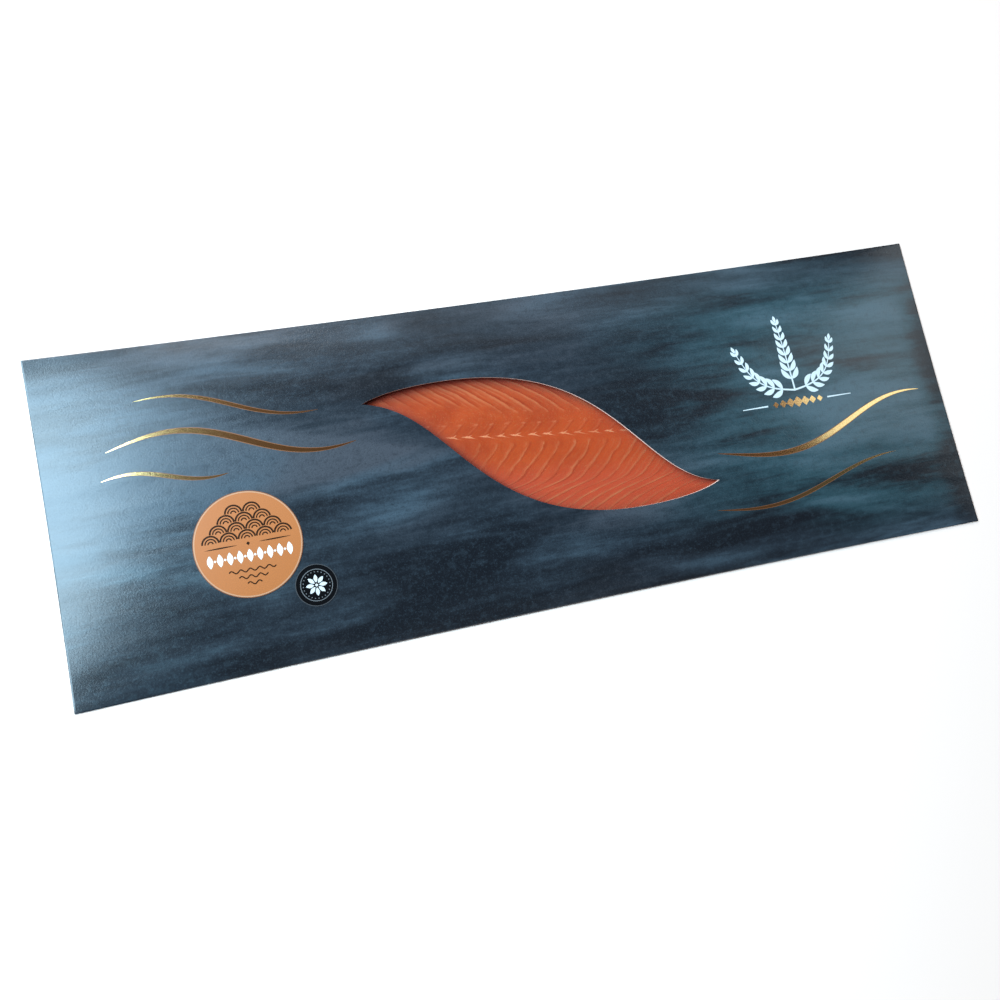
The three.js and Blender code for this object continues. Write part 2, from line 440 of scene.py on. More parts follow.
def card_material(look):
    """Satin card with a wash of blue mist in long soft bands, and a fine printed grain. The left
    end is lighter and bluer and the top edge lighter: painted sheen, added to the lamps' real sheen
    there.
    """
    s = Shader("card_print")
    x, y, _ = s.split(s.place())
    fields = s.noise(s.place(4.5, 13), 2, 0.45, 0.5)
    bands = s.noise(s.place(8, 36), 3, 0.5, 0.9)
    strands = s.noise(s.place(13, 85), 3, 0.5, 0.6)
    wisps = s.noise(s.place(28, 270), 4, 0.6, 0.6)
    hue = s.noise(s.place(7, 22, 9), 2, 0.5, 0.3)
    grain = s.noise(s.place(900, 900, 900), 2, 0.7)
    cloth = s.noise(s.place(190, 260, 220), 3, 0.65)
    swell = s.noise(s.place(11, 75), 1, 0.3, 0.4)

    # Painted sheen: the top edge and the left end are made lighter, and the lower left end bluer,
    # where the satin varnish catches the lamps.
    top = y.rise(0.055, 0.095)
    left = x.rise(-0.12, -0.26)
    right = x.rise(0.02, 0.17)
    far = x.rise(0.13, 0.20)
    low_dark = y.rise(-0.045, -0.070) * (1 - far * 0.8)
    fringe = y.rise(-0.078, -0.092) * x.rise(0.06, 0.13)
    low_left_sheen = left * y.rise(0.0, -0.05)
    glow = abs(y).rise(0.055, 0.015) * x.rise(-0.04, -0.10)
    pool = right * abs(y - 0.005).rise(0.075, 0.020)
    corner = x.rise(0.262, 0.285) * y.rise(0.075, 0.045)
    wash = (y + far * 0.018).rise(-0.080, -0.050) * right * y.rise(0.092, 0.060, 0.25, 1.0)
    # The top edge and left end terms below are painted sheen: they lighten the tone, grey the top
    # edge and turn the lower left end bluer. The wash at the right is the print's own teal.
    hazy = hue.rise(0.42, 0.58) * (1 - right) * (1 - left) + top * 0.3
    calm = 1 - right * 0.5

    tone = fields * 0.36 + bands * 0.33 + strands * 0.18 + wisps * 0.13
    tone = tone + left * 0.03 + top * 0.02 + glow * 0.05 + pool * 0.05
    tone = tone - low_dark * 0.055 + fringe * 0.08 + low_left_sheen * 0.04 - corner * 0.13 - 0.005
    light = s.paint(look.mist, (hazy, look.haze), (wash * 0.8 + low_left_sheen * 0.6, look.lagoon))
    body = s.paint(
        look.deep,
        (tone.rise(0.41, 0.52), s.mix(wash * 0.85, look.slate, look.teal)),
        (tone.rise(0.49, 0.61), light),
        (grain.rise(0.50, 0.72) * calm * 0.26, light),
        (grain.rise(0.52, 0.26) * calm * (1 - left * 0.5) * 0.40, look.deep),
        (cloth.rise(0.50, 0.70) * 0.16, light),
        (cloth.rise(0.50, 0.30) * 0.22, look.deep),
    )
    rough = look.roughness + (cloth - 0.5) * 0.10 + (bands - 0.5) * 0.20
    normal = s.bump(grain + cloth * 0.7 + wisps * 0.6 + swell * 6.0, 0.62, 0.00016)
    return s.finish(
        Base_Color=body, Roughness=rough, Normal=normal, Coat_Weight=0.35, Coat_Roughness=0.24
    )


def leaf_points():
    """Corners of the window's rim, evenly spaced, from its left tip over the crest and round."""
    start, crest, end = LEAF_TIP, LEAF_CREST, -LEAF_TIP
    first = (start, start + LEAF_TIP_PULL, crest - LEAF_BEFORE_CREST, crest)
    second = (crest, crest + LEAF_AFTER_CREST, end + LEAF_TAIL_PULL, end)
    line = interpolate_bezier(*first, LEAF_CURVE_POINTS)
    line += interpolate_bezier(*second, LEAF_CURVE_POINTS)[1:]
    half = spaced(line, LEAF_HALF_COUNT)
    return half + [-point for point in half]


def spaced(points, count):
    """count points at equal distances along a line, without its end."""
    stops = [(0.0, points[0])]
    for before, after in zip(points, points[1:]):
        stops.append((stops[-1][0] + (after - before).length, after))
    return [along_stops(reach, stops) for reach in evenly(0.0, stops[-1][0], count)]


def outline_points(inset_x, inset_y):
    """Corners of the pack's outline, one for each corner of the window's rim."""
    tip, corner = LEAF_TIP.y, WIDTH / 2
    right_count = LEAF_HALF_COUNT - LEFT_END_COUNT - TOP_COUNT
    half = [(-half_length_at(y), y) for y in evenly(tip, corner, LEFT_END_COUNT)]
    half += [(x, half_width_at(x)) for x in evenly(-LENGTH / 2, LENGTH / 2, TOP_COUNT)]
    half += [(half_length_at(y), y) for y in evenly(corner, -tip, right_count)]
    scale_x, scale_y = 1 - 2 * inset_x / LENGTH, 1 - 2 * inset_y / WIDTH
    half = [Vector((x * scale_x, y * scale_y)) for x, y in half]
    return half + [-point for point in half]


def make_sleeve_mesh():
    """One skin: from the window's rim out over the front, round the folds and across the back,
    and from the rim in under the front to the hollow that holds the salmon."""
    card = sizes().card
    leaf = leaf_points()
    bm = bmesh.new()
    number_layer = bm.verts.layers.int.new("number")
    rim = bmesh.ops.create_circle(bm, segments=len(leaf), radius=1)["verts"]
    for number, corner in enumerate(rim):
        corner[number_layer] = number
        corner.co = Vector((*leaf[number], front_height(*leaf[number])))
    rim_edges = linked_edges(rim)

    def between(one, other, part, drop):
        def place(corner):
            point = one[corner[number_layer]].lerp(other[corner[number_layer]], part)
            return Vector((*point, front_height(*point) - drop))
        return place

    def at(points, height):
        return lambda corner: Vector((*points[corner[number_layer]], height))

    outline = outline_points(0, 0)
    shoulder = outline_points(FOLD_RADIUS, FOLD_RADIUS)
    ring = rim_edges
    for step in (*range(1, FRONT_RINGS), FRONT_RINGS - LAST_RING_WIDTH, FRONT_RINGS):
        ring = grow_ring(bm, ring, between(leaf, shoulder, step / FRONT_RINGS, 0))
    for height in (1.5 * card, 0.5 * card):
        ring = grow_ring(bm, ring, at(outline, height))
        mark_sharp(ring)
    bmesh.ops.contextual_create(bm, geom=grow_ring(bm, ring, at(shoulder, 0)))

    hollow = outline_points(sizes().end_seam, sizes().fold_margin)
    foot = [point * CUT_SLOPE + CUT_LEAN for point in leaf]
    ring = grow_ring(bm, rim_edges, between(foot, foot, 0, card), material=1)
    mark_sharp(rim_edges + ring)
    for step in range(1, INNER_RINGS + 1):
        ring = grow_ring(bm, ring, between(foot, hollow, step / INNER_RINGS, card), material=2)
    ring = grow_ring(bm, ring, at(hollow, card), material=2)
    for face in bmesh.ops.contextual_create(bm, geom=ring)["faces"]:
        face.material_index = 2
    step_the_back(bm)
    bmesh.ops.recalc_face_normals(bm, faces=bm.faces)
    return bm


def step_the_back(bm):
    """The glued seam of the back: a flap's edge with the lower layer set in behind it."""
    seam = sizes().seam_offset
    for offset in (seam, seam + SEAM_WIDTH):
        back = [face for face in bm.faces if all(corner.co.z < BACK_LIMIT for corner in face.verts)]
        parts = dict.fromkeys(part for face in back for part in (face, *face.edges, *face.verts))
        cut = bmesh.ops.bisect_plane(
            bm, geom=list(parts), plane_co=(0, -offset, 0), plane_no=(0, 1, 0), dist=MM / 1000
        )
        mark_sharp([part for part in cut["geom_cut"] if isinstance(part, bmesh.types.BMEdge)])
    for corner in bm.verts:
        if corner.co.z < BACK_LIMIT and corner.co.y < -(seam + SEAM_WIDTH / 2):
            corner.co.z += sizes().seam_step


class PACK_OT_sleeve(bpy.types.Operator):
    """Make the printed card sleeve with its window"""

    bl_idname = "salmon_pack.sleeve"
    bl_label = "Card Sleeve"

    def execute(self, context):
        look = context.scene.card_look
        core = mottled_material("card_core", CORE_GRAIN, 0.5, look.core, look.inside, 0.85)
        inside = mottled_material("card_inside", INSIDE_GRAIN, 1.0, look.inside, look.core, 0.9)
        materials = [card_material(look), core, inside]
        piece = finish_piece(make_sleeve_mesh(), "card_sleeve", materials)
        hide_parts("sleeve")
        return {"FINISHED"}


# ---- The salmon ----

SALMON_HALF_LENGTH = (SALMON_HIGH[0] - SALMON_LOW[0]) / 2
FLOOR_INSIDE = SALMON_LOW[2]
SKIN_GAP = 1.0 * MM
BONE_LINE_Y = 5.9 * MM
BONE_LINE_SLOPE = -0.126
BACK_CORNERS = [(-262, 62), (-180, 76), (-60, 80), (60, 70), (160, 45), (262, -6)]
BELLY_CORNERS = [(-262, -34), (-200, -68), (-90, -81), (60, -81), (170, -66), (262, -45)]
EDGE_CURVE_POINTS = 24
EDGE_MARGIN = 4 * MM
END_ROUNDING = 0.04
SIDE_DROP_PART = 0.45
SIDE_DROP_POWER = 6
SINK = 2.8 * MM  # how much deeper the top lies at the window's left end
SINK_WAY = Vector((-0.9, 0.44))
SINK_FROM, SINK_TO = -60 * MM, 80 * MM

# Parts of the skin's length and width that the window's flakes take up, and where they lie.
COLUMNS_START, COLUMNS_END = 0.08, 0.94
COLUMN_STOPS = (
    (0.0, -SALMON_HALF_LENGTH), (COLUMNS_START, -112 * MM),
    (COLUMNS_END, 152 * MM), (1.0, SALMON_HALF_LENGTH),
)
ROWS_START, ROWS_END = 0.09, 0.93
REACH_BELOW, REACH_ABOVE = 48 * MM, 44 * MM
ROW_STOPS = ((ROWS_START, -REACH_BELOW), (ROWS_END, REACH_ABOVE))
SALMON_GRID = (430, 120)
FILM_GRID = (260, 70)
FILM_LIFT = 0.22 * MM

FLAKE_PITCH = 9.7 * MM
PITCH_IN_MM = FLAKE_PITCH / MM
FIRST_BONE_X = -56.6 * MM
BACK_PHASE = 0.42
FLAKE_WAVER = 0.10
GROOVE_PLACE, GROOVE_WIDTH = 0.57, 0.09  # in flakes
LAP_RISE = 0.20
RELIEF_BACK = 0.12 * MM
RELIEF_BELLY = 0.08 * MM
RELIEF_MIDDLE = 0.05 * MM
# Distances from the line of bones over which each kind of flake sets in.
BACK_SETS_IN = (13 * MM, 22 * MM)
BELLY_SETS_IN = (27 * MM, 34 * MM)
MIDDLE_SETS_IN = (4 * MM, 7 * MM)

# How the grooves run, in millimetres: an arc above the bones, then the back's slant, and
# below them a hook, then a slant that the belly bends in two places.
ARC_HEIGHT, ARC_SHIFT = 15, 11
BACK_SWEEP = 0.02
HOOK_SHIFT, HOOK_DEPTH = 14, 2.5
SLANT = 0.95
BELLY_BENDS = ((29, 1.4, -2.6), (35.5, 2.5, 1.9))  # distance, rounding, change of slant

RIM_REACH, RIM_FADE = 3.0 * MM, 1.3
RIM_SHADE, RIM_SHADE_REACH = 0.13, 9.0 * MM
RIM_SIDE = Vector((-0.80, 0.60))  # the side the light comes from, where the rim's painted shade is deepest
RIM_SIDE_FROM, RIM_SIDE_TO = -0.75, 0.50
RIM_LEAST = 0.12


def salmon_material(look):
    """Cured flesh. The map named flakes counts flakes along it and, in the same unit, the
    distance above the line of cut bones."""
    s = Shader("salmon_flesh")
    flakes = s.node("ShaderNodeUVMap", {"uv_map": "flakes"})
    wobble = s.noise(s.scaled(flakes, 1.1, 1.7), 3, 0.55) - 0.5
    ripple = s.noise(s.scaled(flakes, 3.6, 2.4), 3, 0.6) - 0.5
    streaks = s.noise(s.scaled(flakes, 3.0, 0.9), 3, 0.6, 0.3)
    fibres = s.noise(s.scaled(flakes, 9, 3.0), 4, 0.65, 0.3)
    specks = s.noise(s.scaled(flakes, 6, 8), 2, 0.5, 1.4)
    patches = s.noise(s.place(50, 50, 50), 4, 0.6)
    fine = s.noise(s.place(1100, 1100, 1100), 3, 0.6)
    x, _, _ = s.split(s.place())
    along, above, _ = s.split(flakes)
    level = above * PITCH_IN_MM
    count = along + wobble * 0.30 + ripple * 0.18
    offset = (count + 0.5).math("FRACT") - 0.5
    between = count.math("FRACT") - 0.5
    lap = (count - BACK_PHASE).math("FRACT")
    body = s.paint(
        s.mix(patches.rise(0.35, 0.70) * 0.50, look.flesh, look.deep),
        (fibres.rise(0.48, 0.75) * 0.16, look.pale),
        (fibres.rise(0.48, 0.25) * 0.20, look.deep),
        (level.rise(-37, -48) * 0.35, look.pale),
        # Painted light: lighter flesh towards the right end.
        (x.rise(-0.030, 0.070) * 0.50, look.painted_light_flesh),
        (level.rise(-12, -32) * 0.55, look.rosy),
    )

    # The back's flakes, which lap over each other, with painted shade in the valleys between them.
    back = (level - x.rise(-0.005, -0.060) * 6).rise(12, 21)
    half_lap = (lap * 2.0).math("FRACT")
    rib = half_lap.band(0.50, 0.86, 0.88, 1.0) * streaks.rise(0.62, 0.42)
    rib = rib * back * x.rise(0.010, -0.030, 0.12, 0.42) * x.rise(-0.092, -0.050)
    crest = lap.band(0.58, 0.87, 0.91, 1.0) * streaks.rise(0.32, 0.60, 0.20, 1.0)
    crest = crest * x.rise(-0.088, -0.045, 0.15, 1.0)
    valley_shade = lap.rise(0.26, 0.02) * back
    body = s.paint(
        body,
        (lap.band(0.20, 0.95, 0.93, 1.0) * back * 0.18, look.pale),
        (rib, look.pale),
        (crest * back * 0.68, look.pale),
        (valley_shade * streaks.rise(0.62, 0.35, 0.35, 1.0) * 0.85, look.deep),
    )

    # The thin lines between the flakes below the bones, and faint arcs above them. Each pale line
    # is partly the flesh's own fat line and partly a painted highlight on a flake's edge, with
    # painted shade in the groove beside it.
    below = level.rise(-3.0, -5.5) * abs(level + 6).rise(60, 30, 0.75, 1.0)
    belly = level.rise(-27, -34)
    faint = x.rise(-0.052, -0.010, 0.30, 1.0)
    fading_and_foil_reflection = streaks.rise(0.36, 0.62, 0.10, 1.0) * faint
    light = offset.rise(belly * -0.12 - 0.34, -0.05) ** 1.5 * offset.rise(0.05, -0.03)
    light = light * below * fading_and_foil_reflection
    groove = offset.band(-0.03, 0.07, 0.10, 0.30) * streaks.rise(0.62, 0.40, 0.25, 1.0)
    groove = groove * below * faint * x.rise(0.0, 0.05, 1.0, 0.6)
    second = abs(between).rise(0.16, 0.02) * below * streaks.rise(0.62, 0.42)
    second = second * x.rise(0.01, 0.05) * (1 - belly) * 0.22
    arcs = level.band(0.5, 3.0, 7, 10)
    body = s.paint(
        body,
        (groove * (0.55 - belly * 0.20), look.deep),
        ((light * (belly * 0.30 + 0.58)).math("MAXIMUM", second), look.pale),
        (abs(offset - 0.05).rise(0.14, 0.02) * arcs * 0.30, look.deep),
        (abs(offset + 0.10).rise(0.12, 0.02) * arcs * 0.16, look.pale),
    )

    # Specks of fat, the marks of the bones, and painted shade where the card's rim shades the
    # flesh.
    low_zone = level.band(-29, -25, -21, -17) * abs(x - 0.002).rise(0.035, 0.015)
    zone = level.band(4, 8, 16, 24).math("MAXIMUM", low_zone)
    mark = bone_marks(s, flakes)
    rim = s.attribute("rim")
    body = s.paint(
        body,
        (specks.rise(0.57, 0.72) * zone * 0.45, look.pale),
        (mark, look.fat),
        (rim * 0.90, look.rim),
    )
    rough = look.roughness + (fine - 0.5) * 0.14 - crest * 0.05 + rim * 0.3
    height = fine * 0.3 + fibres * 0.5 + mark * 0.8 + light * 0.4 + crest * back * 0.4
    return s.finish(
        Base_Color=body, Roughness=rough, Normal=s.bump(height - groove * 0.25, 0.30, 0.00035),
        Coat_Weight=(1 - rim) * 0.10, Coat_Roughness=0.15,
        Subsurface_Weight=0.10, Subsurface_Scale=0.003,
    )


def bone_marks(s, flakes):
    """Cream marks of the cut bones, one to each flake: a thin tail that forks into a short
    upper prong and a longer lower one. Over them stand a tick and a fat drop to each flake.
    Lengths are in millimetres."""
    drift = s.noise(s.scaled(flakes, 2.3, 3.1), 2, 0.5) - 0.5
    ripple = s.noise(s.scaled(flakes, 8, 8), 2, 0.5) - 0.5
    along, above, _ = s.split(flakes)
    count = along + drift * 0.30 + 0.5
    number = count.math("FLOOR")
    across = (count.math("FRACT") - 0.5) * PITCH_IN_MM
    up = above * PITCH_IN_MM + ripple * 1.1 - drift * 1.2
    spread = s.noise(s.node("ShaderNodeCombineXYZ", {}, {0: number * 3.7}), 0)
    ahead = across.math("MAXIMUM", 0.0)

    limb = 0.5 - ahead * ahead * 0.14
    thick = across.rise(-3.8, -0.3, 0.12, 0.62)
    lower = (abs(up - limb) / thick).rise(1.35, 0.45) * across.band(-4.2, -0.9, 2.3, 3.3)
    prong = abs(up - 0.6 - ahead * 0.55).rise(0.62, 0.20) * across.band(-0.6, 0.2, 1.3, 2.2)
    seen = number.band(-0.6, -0.4, 11.4, 11.6)
    fork = lower.math("MAXIMUM", prong * 0.8) * seen * spread.rise(0.3, 0.6, 0.55, 1.0)

    tick = abs(across + 1.5).rise(2.0, 0.4) * abs(up - 8.0).rise(0.85, 0.15) * spread * 0.36
    lap = (along - BACK_PHASE).math("FRACT")
    drop = abs(lap - 0.91).rise(0.12, 0.02) * abs(up - 15.6).rise(1.6, 0.3) * 0.16
    drop = drop * number.rise(1.6, 2.4)
    return fork.math("MAXIMUM", tick.math("MAXIMUM", drop))


def film_material():
    """Clear vacuum film: see-through, with a thin gloss and a faint veil."""
    s = Shader("vacuum_film")
    veil = s.noise(s.place(30, 45, 30), 4, 0.6)
    creases = s.noise(s.place(160, 420, 160), 3, 0.6, 0.5)
    clear = s.node("ShaderNodeBsdfTransparent")
    glancing = s.node("ShaderNodeLayerWeight", {}, {"Blend": 0.5}, "Facing")
    # Less gloss and veil where the flesh below has its painted rim shade.
    shaded = 1 - s.attribute("rim") * 0.8
    amount = glancing**5 * 0.9 + (veil.rise(0.45, 0.8) * 0.02 + 0.022) * shaded
    shine = s.bump(creases, 0.35, 0.0003)
    s.finish(Base_Color=(0.95, 0.93, 0.92, 1.0), Metallic=1.0, Roughness=0.14, Normal=shine)
    surface = Value(s, s.surface.outputs[0])
    mixed = s.node("ShaderNodeMixShader", {}, {0: amount, 1: clear, 2: surface})
    s.feed(s.tree.nodes["Material Output"].inputs["Surface"], mixed)
    return s.material


def edge_through(corners):
    """A smooth edge through a few corners, as (x, y) stops."""
    points = [mm(*corner) for corner in corners]
    befores, afters = [points[0], *points], [*points[2:], points[-1]]
    line = []
    for before, start, end, after in zip(befores, points, points[1:], afters):
        pulls = start + (end - before) / 6, end - (after - start) / 6
        line += interpolate_bezier(start, *pulls, end, EDGE_CURVE_POINTS)
    return [(point.x, point.y) for point in line]


def bone_line_at(x):
    return BONE_LINE_Y + BONE_LINE_SLOPE * x


def soft_ramp(value, rounding):
    """Nothing below zero and as large as the value above it, with a round corner between."""
    return rounding * math.log1p(math.exp(value / rounding))


def groove_shift(distance):
    """How far a groove has moved along the fish at a distance above the bone line."""
    away = abs(distance) / MM
    if distance >= 0:
        arc = ARC_SHIFT * math.sin(math.pi / 2 * clamp01(away / ARC_HEIGHT))
        past = max(0.0, away - ARC_HEIGHT)
        return (arc - past - BACK_SWEEP * past**2) * MM
    shift = HOOK_SHIFT * (1 - math.exp(-away / HOOK_DEPTH)) - SLANT * away
    for start, rounding, change in BELLY_BENDS:
        shift += change * soft_ramp(away - start, rounding)
    return shift * MM


def salmon_height(x, y, outward):
    """Height of the salmon's top without its flakes: just under the card at the right, sunk
    further at the left, and lower at its sides."""
    ceiling = front_height(x, y) - sizes().card - SKIN_GAP
    side = 1 - SIDE_DROP_PART * outward**SIDE_DROP_POWER
    dip = SINK * smooth_ramp(Vector((x, y)).dot(SINK_WAY), SINK_FROM, SINK_TO)
    return FLOOR_INSIDE + (ceiling - FLOOR_INSIDE - dip) * side


def flake_relief(count, distance):
    """Depth of the surface below the crests: flakes lap over each other towards the head."""
    lap = (count - BACK_PHASE) % 1.0
    step = (1 - lap) * smooth_ramp(lap, 0, LAP_RISE)
    past = (count + 0.5) % 1.0 - GROOVE_PLACE
    groove = math.exp(-((past / GROOVE_WIDTH) ** 2)) * smooth_ramp(-distance, *MIDDLE_SETS_IN)
    belly = smooth_ramp(-distance, *BELLY_SETS_IN)
    depth = RELIEF_MIDDLE + (RELIEF_BELLY - RELIEF_MIDDLE) * belly
    return groove * depth + RELIEF_BACK * smooth_ramp(distance, *BACK_SETS_IN) * step


def uneven(place, run_x, run_y, seed):
    """Smooth noise from -1 to 1 that runs on for so many millimetres along x and y."""
    return noise.noise(Vector((place.x / (run_x * MM), place.y / (run_y * MM), seed)))


def salmon_point(edges, along, across):
    """(place, flake count, distance above the bone line) at parts of the skin's length and
    width. Columns follow the flakes' grooves in the window, and run straight at the ends."""
    column = along_stops(along, COLUMN_STOPS)
    sweep = smooth_ramp(along, 0, COLUMNS_START) * smooth_ramp(along, 1, COLUMNS_END)
    distance = along_stops(across, ROW_STOPS)
    outward = ramp(across, ROWS_START, 0) + ramp(across, ROWS_END, 1)
    shifted = column + sweep * groove_shift(distance)
    reach = abs(along_stops(shifted, edges[distance > 0]) - bone_line_at(shifted))
    inner = abs(distance) * min(1.0, (reach - EDGE_MARGIN) / REACH_BELOW)
    offset = math.copysign(inner + (reach - inner) * outward, distance)
    place = Vector((shifted * (1 - END_ROUNDING * (offset / reach) ** 2), 0, 0))
    place.y = bone_line_at(shifted) + offset
    count = (column - FIRST_BONE_X) / FLAKE_PITCH + FLAKE_WAVER * uneven(place, 13, 9, 3)
    relief = flake_relief(count, distance) * sweep * (1 - outward)
    place.z = salmon_height(place.x, place.y, abs(offset) / reach) - relief
    return place, count, distance


def painted_rim_shade():
    """A function of a point: painted shade, 1 at the window's rim where the card shades the flesh,
    deepest on the side the light comes from, fading inwards, with a faint broad shade further in.
    """
    leaf = leaf_points()
    tree = kdtree.KDTree(len(leaf))
    outward = []
    for number, point in enumerate(leaf):
        tree.insert(point.to_3d(), number)
        along = leaf[(number + 1) % len(leaf)] - leaf[number - 1]
        outward.append(Vector((-along.y, along.x)).normalized())
    tree.balance()

    def closeness(place):
        number = tree.find(place.xy.to_3d())[1]
        depth = max(0.0, (leaf[number] - place.xy).dot(outward[number]))
        shadowed = ramp(outward[number].dot(RIM_SIDE), RIM_SIDE_FROM, RIM_SIDE_TO)
        side = RIM_LEAST + (1 - RIM_LEAST) * shadowed
        near = side * math.exp(-((depth / RIM_REACH) ** RIM_FADE))
        return near + (1 - near) * RIM_SHADE * math.exp(-((depth / RIM_SHADE_REACH) ** 2))

    return closeness


def salmon_skin(columns, rows, height_above):
    """A closed skin over the salmon: its top, its sides and its flat base."""
    edges = edge_through(BELLY_CORNERS), edge_through(BACK_CORNERS)
    closeness = painted_rim_shade()
    bm = bmesh.new()
    # The rim layer holds the painted shade of the card's rim.
    rim_shade_layer = bm.verts.layers.float.new("rim")
    bmesh.ops.create_grid(bm, x_segments=columns, y_segments=rows, size=0.5)
    flakes = bm.loops.layers.uv.new("flakes")
    mapped = {}
    for corner in bm.verts:
        along, across = clamp01(corner.co.x + 0.5), clamp01(corner.co.y + 0.5)
        place, count, distance = salmon_point(edges, along, across)
        place.z += height_above(place)
        corner.co = place
        corner[rim_shade_layer] = closeness(place)
        mapped[corner] = (count, distance / FLAKE_PITCH)
    for face in bm.faces:
        for loop in face.loops:
            loop[flakes].uv = mapped[loop.vert]
    rim = [edge for edge in bm.edges if edge.is_boundary]
    base = grow_ring(bm, rim, lambda corner: Vector((*corner.co.xy, FLOOR_INSIDE)))
    bmesh.ops.contextual_create(bm, geom=base)
    mark_sharp(base)
    bmesh.ops.recalc_face_normals(bm, faces=bm.faces)
    return bm


def salmon_lumps(place):
    """The unevenness of the cut face."""
    return (0.16 * uneven(place, 22, 14, 0) + 0.05 * uneven(place, 5, 4, 7)) * MM


def film_creases(place):
    """Film drawn tight just over the fish: low ripples, and a few creases that run across."""
    crease = ramp(abs(uneven(place, 30, 60, 9)), 0.05, 0)
    return FILM_LIFT + (0.05 * uneven(place, 16, 7, 4) + 0.10 * crease) * MM


class PACK_OT_salmon(bpy.types.Operator):
    """Make the side of smoked salmon with its flakes"""

    bl_idname = "salmon_pack.salmon"
    bl_label = "Salmon"

    def execute(self, context):
        flesh = salmon_material(context.scene.salmon_look)
        bm = salmon_skin(*SALMON_GRID, salmon_lumps)
        piece = finish_piece(bm, "salmon_side", [flesh])
        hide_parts("salmon")
        return {"FINISHED"}


class PACK_OT_film(bpy.types.Operator):
    """Make the clear vacuum film on the salmon"""

    bl_idname = "salmon_pack.film"
    bl_label = "Vacuum Film"

    def execute(self, context):
        bm = salmon_skin(*FILM_GRID, film_creases)
        finish_piece(bm, "vacuum_film", [film_material()])
        return {"FINISHED"}


# ---- Print ----

PRINT_LIFT = 0.03 * MM
PRINT_THICKNESS = 0.03 * MM
STICKER_LIFT = 0.06 * MM
STICKER_THICKNESS = 0.2 * MM
ON_STICKER = STICKER_LIFT + STICKER_THICKNESS + 0.02 * MM


def ink_material(name, body_colour, roughness=0.45, sheen=0.5):
    """Printed ink or paper: one colour, broken up by a fine grain."""
    s = Shader(name)
    grain = s.noise(s.place(1400, 1400, 1400), 3, 0.7)
    cloud = s.noise(s.place(70, 70, 70), 3, 0.5)
    darker = [channel * 0.82 for channel in body_colour]
    body = s.mix(grain * 0.5 + cloud * 0.35, body_colour, darker)
    rough = roughness + (grain - 0.5) * 0.12
    normal = s.bump(grain, 0.08, 0.00008)
    return s.finish(Base_Color=body, Roughness=rough, Normal=normal, Specular_IOR_Level=sheen)


def foil_material(look):
    """Hot-pressed gold foil, slightly crazed, with a painted reflection that turns it copper
    towards the window.
    """
    s = Shader("gold_foil")
    craze = s.noise(s.place(700, 1500, 700), 4, 0.65)
    cloud = s.noise(s.place(30, 30, 30), 2, 0.5)
    x, _, _ = s.split(s.place())
    # Painted reflection: the foil turns copper towards the window, where it reflects darker
    # surroundings, with some random clouding.
    fading_and_foil_reflection = abs(x + 0.02).rise(0.215, 0.150) * 0.8 + cloud.rise(0.40, 0.65) * 0.2
    body = s.paint(look.gold, (fading_and_foil_reflection, look.copper), (craze.rise(0.45, 0.75) * 0.45, look.craze))
    normal = s.bump(craze, 0.12, 0.0001)
    return s.finish(Base_Color=body, Metallic=1.0, Roughness=0.10 + craze * 0.12, Normal=normal)


def lay_on_front(bm, lift, thickness):
    """Lays flat shapes on the crowned front, lifted off it, and gives them their thickness."""
    for corner in bm.verts:
        corner.co.z = front_height(corner.co.x, corner.co.y) + lift
    bmesh.ops.recalc_face_normals(bm, faces=bm.faces)
    for face in [face for face in bm.faces if face.normal.z < 0]:
        face.normal_flip()
    bmesh.ops.solidify(bm, geom=bm.faces[:], thickness=thickness)
    bmesh.ops.recalc_face_normals(bm, faces=bm.faces)
    mark_sharp([edge for edge in bm.edges if edge.calc_face_angle(0.0) > SHARP_ANGLE])


def finish_print(bm, name, materials, lift=PRINT_LIFT):
    """Makes a printed piece from flat shapes."""
    lay_on_front(bm, lift, PRINT_THICKNESS)
    finish_piece(bm, name, materials)


def add_stroke(bm, centre_line, width_at, steps, rows=2):
    """A flat stroke along a line: centre_line(t) is a point, width_at(t) the full width there.
    With more rows its outermost ones take the second material."""
    made = bmesh.ops.create_grid(bm, x_segments=steps, y_segments=rows, size=0.5)["verts"]
    if rows > 2:
        for face in {face for corner in made for face in corner.link_faces}:
            outermost = abs(face.calc_center_median().y) > 0.5 - 1 / rows
            face.material_index = 1 if outermost else 0
    small = 0.5 / steps
    for corner in made:
        along, side = clamp01(corner.co.x + 0.5), corner.co.y
        ahead = centre_line(min(1.0, along + small)) - centre_line(max(0.0, along - small))
        across = ahead.orthogonal().normalized()
        corner.co = (centre_line(along) + across * side * width_at(along)).to_3d()


def add_ring(bm, centre, inner, outer, segments):
    """A flat ring round a centre."""
    made = bmesh.ops.create_circle(bm, segments=segments, radius=inner)["verts"]
    grow_ring(bm, linked_edges(made), lambda corner: corner.co * (outer / inner))
    grown = {corner for edge in linked_edges(made) for corner in edge.verts}
    bmesh.ops.translate(bm, verts=list(grown), vec=centre.to_3d())


def add_dot(bm, centre, radius, segments=20):
    """A flat round dot, or a lozenge with four segments."""
    made = bmesh.ops.create_circle(bm, cap_ends=True, segments=segments, radius=radius)["verts"]
    bmesh.ops.translate(bm, verts=made, vec=centre.to_3d())


def straight_line(start, end):
    return lambda part: start.lerp(end, part)


def wave_line(start, end, height, turns, phase=0.0):
    """A line between two points that swings from side to side as a sine wave."""
    run = end - start
    swing = run.orthogonal().normalized() * height
    return lambda part: (
        start + run * part + swing * math.sin(2 * math.pi * (turns * part + phase))
    )


def arc_line(centre, radius, first, last):
    """An arc from one angle to another, in degrees."""
    return lambda part: centre + direction(first + (last - first) * part) * radius


def even(width):
    return lambda part: width


